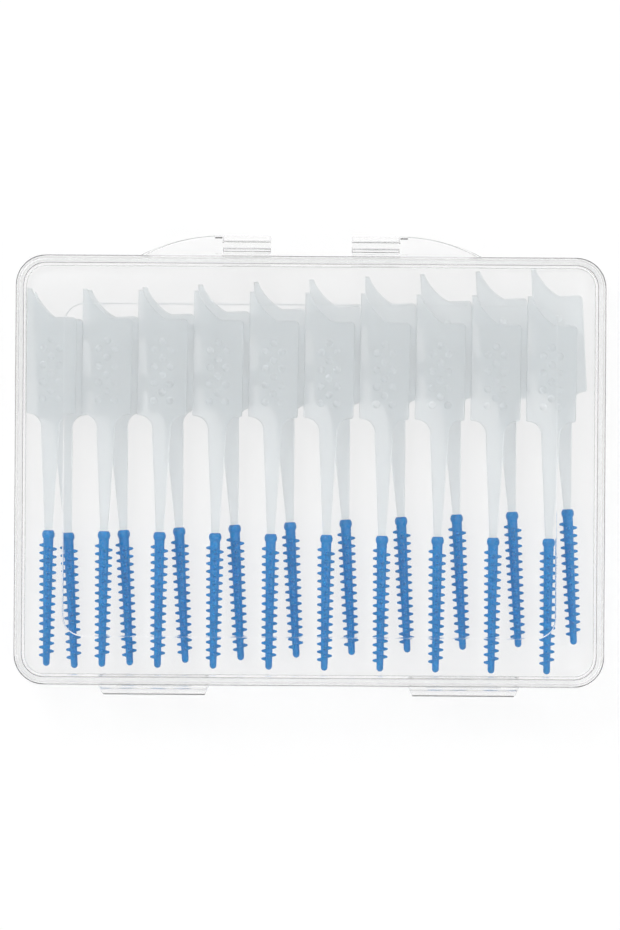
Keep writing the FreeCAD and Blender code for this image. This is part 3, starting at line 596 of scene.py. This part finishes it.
def catch_shape(case, latch):
    """The two sloping catches on the front wall."""
    front = -case.width / 2
    bottom = LATCH_LOW.z + latch.bead_rise + latch.bead_height
    middle = (latch.start + latch.end) / 2
    start = middle - latch.catch_width / 2
    bm, _ = outline([
        (start, front + case.weld, bottom + latch.catch_height),
        (start, front, bottom + latch.catch_height),
        (start, front - latch.catch, bottom),
        (start, front + case.weld, bottom),
    ])
    draw_out(bm, bm.faces[:], (latch.catch_width, 0.0, 0.0))
    return mirrored(bm)


def cover_shape(case):
    """Lid with its rebate: a rounded plate drawn down, stepped in and hollowed."""
    head_room = case.top - case.parting - case.roof
    bm = rounded_plate(case.length, case.width, case.corner, case.top)
    under = draw_out(bm, bm.faces[:], (0.0, 0.0, case.parting - case.top))
    step_in(bm, under, case.wall - case.lip - case.lip_room)
    under = draw_out(bm, under, (0.0, 0.0, case.lip_height + case.lip_room))
    step_in(bm, under, case.lip + case.lip_room)
    draw_out(bm, under, (0.0, 0.0, head_room - case.lip_height - case.lip_room))
    bmesh.ops.recalc_face_normals(bm, faces=bm.faces[:])
    bm.normal_update()
    rim = [edge for edge in edges_at(bm, level(case.parting))
           if upright_walls(edge, case.parting + case.lip_height, case.top)]
    soften(bm, rim, case.soft_edge)
    soften(bm, edges_at(bm, level(case.parting + head_room)), case.inner_edge, segments=4)
    soften(bm, edges_at(bm, level(case.top)), case.edge, segments=6)
    return bm


def panel_shape(case):
    """The raised panel on the lid."""
    bm = rounded_plate(case.length - 2 * case.panel_inset, case.width - 2 * case.panel_inset,
                       case.panel_corner, case.top - case.weld)
    draw_out(bm, bm.faces[:], (0.0, 0.0, case.weld + case.panel_rise))
    soften(bm, edges_at(bm, level(case.top + case.panel_rise)), case.panel_edge, segments=3)
    return bm


def clip_shape(case, hinge):
    """The round clips on the lid's back wall."""
    bm = bmesh.new()
    ends = bar(bm, hinge.barrel, hinge.clip_start, hinge.clip_end, HINGE.y, HINGE.z)
    soften(bm, ends, case.soft_edge)
    return mirrored(bm)


def web_shape(case, hinge):
    """The webs that carry the clips."""
    bm = bmesh.new()
    block(bm, (hinge.clip_start, case.width / 2 - case.weld, HINGE.z + hinge.clip_rise),
          (hinge.clip_end, HINGE.y, HINGE.z + hinge.barrel))
    return mirrored(bm)


def bore_shape(hinge):
    """What the hinge pins leave free in the clips."""
    bm = bmesh.new()
    bar(bm, hinge.bore, hinge.clip_start - OVERCUT, hinge.clip_end + OVERCUT, HINGE.y, HINGE.z)
    return mirrored(bm)


def mouth_shape(hinge):
    """The slots by which the clips snap over the pins."""
    bm = bmesh.new()
    block(bm, (hinge.clip_start - OVERCUT, HINGE.y - hinge.mouth / 2, HINGE.z - 2 * hinge.barrel),
          (hinge.clip_end + OVERCUT, HINGE.y + hinge.mouth / 2, HINGE.z))
    return mirrored(bm)


def lug_shape(case, latch):
    """The lugs on the lid's front wall that carry the tongues."""
    root = case.weld - case.width / 2
    outer = FLEXURE.y - latch.thickness / 2
    bm, _ = outline([
        (latch.start + latch.taper, outer, FLEXURE.z),
        (latch.end - latch.taper, outer, FLEXURE.z),
        (latch.end, root, FLEXURE.z),
        (latch.start, root, FLEXURE.z),
    ])
    draw_out(bm, bm.faces[:], (0.0, 0.0, latch.lug))
    soft = [edge for edge in bm.edges if any(vert.co.y < root - NEAR for vert in edge.verts)
            and any(vert.co.z > FLEXURE.z + NEAR for vert in edge.verts)]
    soften(bm, soft, case.soft_edge)
    return mirrored(bm)


def groove_shape(latch):
    """The grooves under the lugs that the tongues flex in."""
    bm = bmesh.new()
    bar(bm, latch.groove, latch.start - OVERCUT, latch.end + OVERCUT, FLEXURE.y, FLEXURE.z)
    return mirrored(bm)


def tongue_shape(case, latch):
    """A snap tongue: its section drawn along X, with ends that slant in towards the front."""
    half = latch.thickness / 2
    inner, outer = FLEXURE.y + half, FLEXURE.y - half
    bottom, top = LATCH_LOW.z, FLEXURE.z + half
    lip_top = bottom + latch.finger_height
    lip_face = outer - latch.finger_lip
    bead = bottom + latch.bead_rise
    bm, corners = outline([
        (latch.start, inner, top),
        (latch.start, outer, top),
        (latch.start, outer, lip_top),
        (latch.start, lip_face, lip_top - latch.finger_lip),
        (latch.start, lip_face, bottom),
        (latch.start, inner, bottom),
        (latch.start, inner, bead),
        (latch.start, inner + latch.bead, bead + latch.bead_height / 2),
        (latch.start, inner, bead + latch.bead_height),
    ])
    round_corners(bm, corners[:2], half - NEAR, segments=6)
    round_corners(bm, corners[2:6], case.soft_edge, segments=2)
    draw_out(bm, bm.faces[:], (latch.end - latch.start, 0.0, 0.0))
    root = case.weld - case.width / 2
    middle = (latch.start + latch.end) / 2
    for vert in bm.verts:
        slant = latch.taper * (root - vert.co.y) / (root - outer)
        vert.co.x += slant if vert.co.x < middle else -slant
    return bm


# Brushes

def shoulder_height(handle):
    """Height of the hollow shoulders, whose curve is a quarter of a circle."""
    return (handle.width - handle.neck) / 2 - handle.shoulder_flat


def handle_shape(handle, dot_rows):
    """Flat blade with its pointed corner, shoulders, neck, needle and grip dots."""
    half, neck = handle.width / 2, handle.neck / 2
    deep = handle.thickness / 2
    shoulder = shoulder_height(handle)
    root = -shoulder - handle.neck_root
    bm, corners = outline([(x, y, -deep) for x, y in (
        (-neck, root),
        (neck, root),
        (neck, 0.0),
        (half, 0.0),
        (half, handle.height),
        (handle.spike_run - half, handle.height),
        (handle.flank_width - half, handle.height + handle.flank_height),
        (handle.spike_tip - half, handle.height + handle.spike),
        (-half, handle.height + handle.spike),
        (-half, 0.0),
        (-neck, 0.0),
    )])
    round_corners(bm, [corners[2], corners[10]], shoulder, segments=8)
    round_corners(bm, [corners[3], corners[9]], handle.shoulder_round, segments=3)
    round_corners(bm, [corners[4]], handle.corner, segments=5)
    round_corners(bm, [corners[6]], handle.flank_round, segments=10)
    draw_out(bm, bm.faces[:], (0.0, 0.0, handle.thickness))
    bmesh.ops.recalc_face_normals(bm, faces=bm.faces[:])
    rim = [edge for edge in bm.edges if abs(edge.verts[0].co.z - edge.verts[1].co.z) < NEAR
           and any(vert.co.y > root + NEAR for vert in edge.verts)]
    soften(bm, rim, handle.edge, segments=3)

    end = [face for face in bm.faces if all(abs(vert.co.y - root) < NEAR for vert in face.verts)]
    collar = -shoulder - handle.neck_length
    end = draw_out(bm, end, (0.0, collar - root, 0.0))
    for vert in end[0].verts:
        around = Vector((vert.co.x / neck, 0.0, vert.co.z / deep)).normalized()
        vert.co.x, vert.co.z = around.x * handle.neck_end, around.z * handle.neck_end
    for way, radius, before in ((0.0, handle.needle, handle.neck_end),
                                (-handle.needle_length, handle.needle_end, handle.needle)):
        end = draw_out(bm, end, (0.0, way, 0.0))
        shrink = radius / before
        bmesh.ops.scale(bm, vec=(shrink, 1.0, shrink), verts=end[0].verts[:])
    return combine(bm, dots_shape(handle, dot_rows), "UNION")


def dots_shape(handle, dot_rows):
    """The grip dots of both faces, in rows of one and two by turns."""
    bm = bmesh.new()
    for side in (-1, 1):
        for row in range(dot_rows):
            y = handle.height - handle.dot_start - row * handle.dot_pitch
            for x in (-handle.dot_spread, handle.dot_spread) if row % 2 else (0.0,):
                place = (Matrix.Translation((x, y, side * handle.thickness / 2))
                         @ Matrix.Diagonal((handle.dot, handle.dot, handle.dot_rise, 1.0)))
                bmesh.ops.create_uvsphere(bm, u_segments=12, v_segments=8, radius=1.0,
                                          matrix=place)
    return bm


def bridge_shape(handle, pitch):
    """The two bridges to the next blade, thinner at the far end, where they break off."""
    half = handle.width / 2
    bm = bmesh.new()
    for bottom, height in ((handle.high_bridge, handle.high_bridge_height),
                           (handle.low_bridge, handle.low_bridge_height)):
        verts = block(bm, (half - handle.bridge_sink, bottom, -handle.bridge / 2),
                      (pitch - half - handle.score, bottom + height, handle.bridge / 2))
        far = [vert for vert in verts if vert.co.x > half]
        bmesh.ops.scale(bm, vec=(1.0, 1.0, handle.bridge_end / handle.bridge), verts=far)
    return bm


def tip_shape(tip, handle):
    """Rubber tip: a profile spun round the needle, with four rows of nubs."""
    collar = -shoulder_height(handle) - handle.neck_length
    end = collar - tip.length
    hole_end = collar - handle.needle_length - tip.gap
    bulb_middle = collar - math.sqrt(tip.bulb ** 2 - handle.neck_end ** 2)
    widest = math.pi - math.asin(handle.neck_end / tip.bulb)
    # The core has tapered a little by the place where the bulb's arc runs into it.
    taper_share = 0.98
    narrow = math.asin(tip.core / tip.bulb) * taper_share
    bulb_steps, end_steps = 8, 5
    profile = [(0.0, hole_end), (handle.needle_end + tip.gap, hole_end),
               (handle.needle + tip.gap, collar - tip.gap)]
    bulb_start = len(profile)
    for step in range(bulb_steps + 1):
        angle = widest + (narrow - widest) * step / bulb_steps
        profile.append((tip.bulb * math.sin(angle), bulb_middle - tip.bulb * math.cos(angle)))
    profile[bulb_start] = (profile[bulb_start][0], collar - tip.gap)
    for step in range(end_steps + 1):
        angle = math.pi / 2 * step / end_steps
        profile.append((tip.core_end * math.cos(angle),
                        end + tip.core_end * (1.0 - math.sin(angle))))
    bm = bmesh.new()
    verts = [bm.verts.new((radius, y, 0.0)) for radius, y in profile]
    edges = [bm.edges.new(ends) for ends in zip(verts, verts[1:])]
    bmesh.ops.spin(bm, geom=verts + edges, cent=(0.0, 0.0, 0.0), axis=(0.0, 1.0, 0.0),
                   angle=2 * math.pi, steps=24, use_merge=True)
    bmesh.ops.remove_doubles(bm, verts=bm.verts[:], dist=NEAR / 10)
    return combine(bm, nubs_shape(tip, collar), "UNION")


def nubs_shape(tip, collar):
    """The nubs of one tip: blunt cones in four rows, which stand half a step apart."""
    bm = bmesh.new()
    slope = (tip.core - tip.core_end) / (tip.length - tip.core_end)
    reach_slope = (tip.nub_reach - tip.nub_reach_end) / tip.length
    room = tip.length - tip.nub_start - tip.nub_margin
    sideways = Matrix.Rotation(math.pi / 2, 4, "Y")
    for quarter, start in ((0, 0.5), (1, 0.0), (2, 0.0), (3, 0.5)):
        turn = Matrix.Rotation(math.pi / 2 * quarter, 4, "Y") @ sideways
        for step in range(int(room / tip.nub_pitch - start) + 1):
            down = tip.nub_start + (step + start) * tip.nub_pitch
            foot = tip.core - slope * down - tip.nub_sink
            whole = tip.nub_reach - reach_slope * down - foot
            place = (Matrix.Translation((0.0, collar - down, 0.0)) @ turn
                     @ Matrix.Translation((0.0, 0.0, foot + whole / 2)))
            verts = bmesh.ops.create_cone(
                bm, cap_ends=True, segments=10, radius1=tip.nub, radius2=tip.nub_end,
                depth=whole, matrix=place)["verts"]
            reach = place @ Vector((0.0, 0.0, whole / 2))
            rim = {edge for vert in verts for edge in vert.link_edges
                   if all((end.co - reach).length < tip.nub_end + NEAR for end in edge.verts)}
            soften(bm, list(rim), tip.nub_round)
    return bm


def card_line(card):
    """The way from the middle of a card's first tip to the middle of its last."""
    return box_middle(f"{card}_tip_{BRUSHES:02d}") - box_middle(f"{card}_tip_01")


def card_turn(card):
    """How far a card lies turned in the case."""
    line = card_line(card)
    return math.atan2(line.y, line.x)


def card_pitch(card):
    """Distance between the brushes of a card."""
    return card_line(card).length / (BRUSHES - 1)


def brush_place(card, number, tip):
    """Where a brush lies: turned with its card, and with its tip in the box of the tip's node."""
    turn = Matrix.Rotation(card_turn(card), 4, "Z")
    places = [turn @ vert.co for vert in tip.verts]
    low = Vector(min(place[axis] for place in places) for axis in range(3))
    high = Vector(max(place[axis] for place in places) for axis in range(3))
    middle = box_middle(f"{card}_tip_{number:02d}")
    return Matrix.Translation(middle - (low + high) / 2) @ turn


# Operators

class BRUSHCASE_OT_base(bpy.types.Operator):
    """Mould the base of the case with its lip, hinge ears, pins and catches"""

    bl_idname = "brush_case.base"
    bl_label = "Case base"

    def execute(self, context):
        scene = context.scene
        groups = scene.case_sizes, scene.hinge_sizes, scene.latch_sizes
        case, hinge, latch = map(millimetres, groups)
        shape = tray_shape(case)
        for fitting in (ear_shape(case, hinge), boss_shape(hinge), pin_shape(case, hinge),
                        catch_shape(case, latch)):
            shape = combine(shape, fitting, "UNION")
        finish_piece("case_tray", shape, clear_plastic(scene.brush_finishes), "base", "case_base")
        return {"FINISHED"}


class BRUSHCASE_OT_lid(bpy.types.Operator):
    """Mould the lid of the case with its panel, hinge clips and latch lugs"""

    bl_idname = "brush_case.lid"
    bl_label = "Case lid"

    def execute(self, context):
        scene = context.scene
        groups = scene.case_sizes, scene.hinge_sizes, scene.latch_sizes
        case, hinge, latch = map(millimetres, groups)
        shape = cover_shape(case)
        for form in (panel_shape(case), clip_shape(case, hinge), web_shape(case, hinge),
                     lug_shape(case, latch)):
            shape = combine(shape, form, "UNION")
        for cut in (bore_shape(hinge), mouth_shape(hinge), groove_shape(latch)):
            shape = combine(shape, cut, "DIFFERENCE")
        finish_piece("case_cover", shape, clear_plastic(scene.brush_finishes), "lid", "case_lid")
        return {"FINISHED"}


class BRUSHCASE_OT_latches(bpy.types.Operator):
    """Mould the two snap tongues that hold the lid down"""

    bl_idname = "brush_case.latches"
    bl_label = "Latches"

    def execute(self, context):
        scene = context.scene
        case, latch = map(millimetres, (scene.case_sizes, scene.latch_sizes))
        for side, way in (("right", 1.0), ("left", -1.0)):
            shape = tongue_shape(case, latch)
            bmesh.ops.scale(shape, vec=(way, 1.0, 1.0), verts=shape.verts[:])
            finish_piece(f"{side}_tongue", shape, clear_plastic(scene.brush_finishes),
                         f"{side}_latch", f"{side}_latch")
        return {"FINISHED"}


class BRUSHCASE_OT_brushes(bpy.types.Operator):
    """Mould the handles and the rubber tips of both cards"""

    bl_idname = "brush_case.brushes"
    bl_label = "Brushes"

    def execute(self, context):
        scene = context.scene
        handle, tip = map(millimetres, (scene.handle_sizes, scene.tip_sizes))
        last = handle_shape(handle, scene.handle_sizes.dot_rows)
        joined = combine(last.copy(), bridge_shape(handle, card_pitch(CARDS[0])), "UNION")
        rubber = tip_shape(tip, handle)
        for card in CARDS:
            for number in range(1, BRUSHES + 1):
                place = brush_place(card, number, rubber)
                grip = (joined if number < BRUSHES else last).copy()
                sleeve = rubber.copy()
                for shape in (grip, sleeve):
                    bmesh.ops.transform(shape, matrix=place, verts=shape.verts[:])
                finish_piece(f"{card}_brush_{number:02d}_grip", grip,
                             milky_plastic(scene.brush_finishes), f"{card}_card",
                             f"{card}_handle_{number:02d}")
                finish_piece(f"{card}_brush_{number:02d}_sleeve", sleeve,
                             blue_rubber(scene.brush_finishes), f"{card}_card",
                             f"{card}_tip_{number:02d}")
        for shape in (last, joined, rubber):
            shape.free()
        return {"FINISHED"}


class BRUSHCASE_OT_stage(bpy.types.Operator):
    """Lay the paper, hang the lights and set the camera over the case"""

    bl_idname = "brush_case.stage"
    bl_label = "Stage"

    def execute(self, context):
        scene = context.scene
        scene.view_settings.view_transform = "Standard"
        # The lid stays clear for the light that reaches the brushes through it.
        scene.cycles.blur_glossy = 0.0
        self.lay_paper(scene)
        self.light_world(scene)
        self.hang_light(scene, "Window", place=(-0.45, 0.55, 0.9), size=0.7, power=4.2)
        self.hang_light(scene, "Fill", place=(0.7, -0.2, 0.8), size=0.6, power=1.4)
        self.set_camera(scene)
        return {"FINISHED"}

    def lay_paper(self, scene):
        """Paper that reaches far past the picture and lies a hair below the case."""
        reach, drop = 2.0, 0.3 * MM
        bm = bmesh.new()
        bmesh.ops.create_grid(bm, x_segments=1, y_segments=1, size=reach)
        bmesh.ops.translate(bm, vec=(0.0, 0.0, -drop), verts=bm.verts[:])
        mesh = bpy.data.meshes.new("paper")
        bm.to_mesh(mesh)
        bm.free()
        mesh.materials.append(white_paper(scene.brush_finishes))
        paper = bpy.data.objects.new("paper", mesh)
        scene.collection.objects.link(paper)

    def light_world(self, scene):
        """Bright walls all round, and a darker patch straight above, where the camera hangs."""
        world = bpy.data.worlds.new("Studio")
        world.use_nodes = True
        tree = world.node_tree
        tree.nodes.clear()
        place = add_node(tree, "ShaderNodeTexCoord")
        height = add_node(tree, "ShaderNodeSeparateXYZ", None,
                          {"Vector": place.outputs["Generated"]})
        above = add_node(tree, "ShaderNodeMapRange",
                         {"From Min": 0.93, "From Max": 0.985, "To Min": 0.85, "To Max": 0.5},
                         {"Value": height.outputs["Z"]})
        sky = add_node(tree, "ShaderNodeBackground", {"Color": (1.0, 1.0, 1.0, 1.0)},
                       {"Strength": above.outputs["Result"]})
        add_node(tree, "ShaderNodeOutputWorld", None, {"Surface": sky.outputs["Background"]})
        scene.world = world

    def hang_light(self, scene, name, place, size, power):
        """A square soft light that is turned towards the case."""
        lamp = bpy.data.lights.new(name, "AREA")
        lamp.shape = "SQUARE"
        lamp.size = size
        lamp.energy = power
        item = bpy.data.objects.new(name, lamp)
        item.location = place
        item.rotation_euler = (-Vector(place)).to_track_quat("-Z", "Y").to_euler()
        scene.collection.objects.link(item)

    def set_camera(self, scene):
        """Straight above the case, as the photograph was taken, with a slight turn."""
        distance, frame_height, shift_y, roll = 2.5, 0.1488, 0.98 * MM, math.radians(0.37)
        outline_height = 13.0 * MM
        data = bpy.data.cameras.new("Camera")
        data.sensor_width = 36.0
        data.lens = data.sensor_width * distance / frame_height
        item = bpy.data.objects.new("Camera", data)
        item.location = (0.0, shift_y, outline_height + distance)
        item.rotation_euler = (0.0, 0.0, roll)
        scene.collection.objects.link(item)
        scene.camera = item


PIECES = (BRUSHCASE_OT_base, BRUSHCASE_OT_lid, BRUSHCASE_OT_latches, BRUSHCASE_OT_brushes,
          BRUSHCASE_OT_stage)


class BRUSHCASE_PT_panel(bpy.types.Panel):
    """Lists the pieces of the case with their sizes and colours"""

    bl_idname = "BRUSHCASE_PT_panel"
    bl_label = "Brush case"
    bl_space_type = "VIEW_3D"
    bl_region_type = "UI"
    bl_category = "Brush case"

    def draw(self, context):
        for piece in PIECES:
            self.layout.operator(piece.bl_idname)
        for name, kind in GROUPS.items():
            column = self.layout.column(heading=kind.__doc__)
            for size in kind.__annotations__:
                column.prop(getattr(context.scene, name), size)


GROUPS = {
    "case_sizes": CaseSizes,
    "hinge_sizes": HingeSizes,
    "latch_sizes": LatchSizes,
    "handle_sizes": HandleSizes,
    "tip_sizes": TipSizes,
    "brush_finishes": Finishes,
}


def register():
    for kind in (*GROUPS.values(), *PIECES, BRUSHCASE_PT_panel):
        bpy.utils.register_class(kind)
    for name, kind in GROUPS.items():
        setattr(bpy.types.Scene, name, PointerProperty(type=kind))


def unregister():
    for name in GROUPS:
        delattr(bpy.types.Scene, name)
    for kind in (BRUSHCASE_PT_panel, *reversed(PIECES), *reversed(GROUPS.values())):
        bpy.utils.unregister_class(kind)


def main():
    register()
    bpy.ops.brush_case.base()
    bpy.ops.brush_case.lid()
    bpy.ops.brush_case.latches()
    bpy.ops.brush_case.brushes()
    bpy.ops.brush_case.stage()


if __name__ == "__main__":
    main()
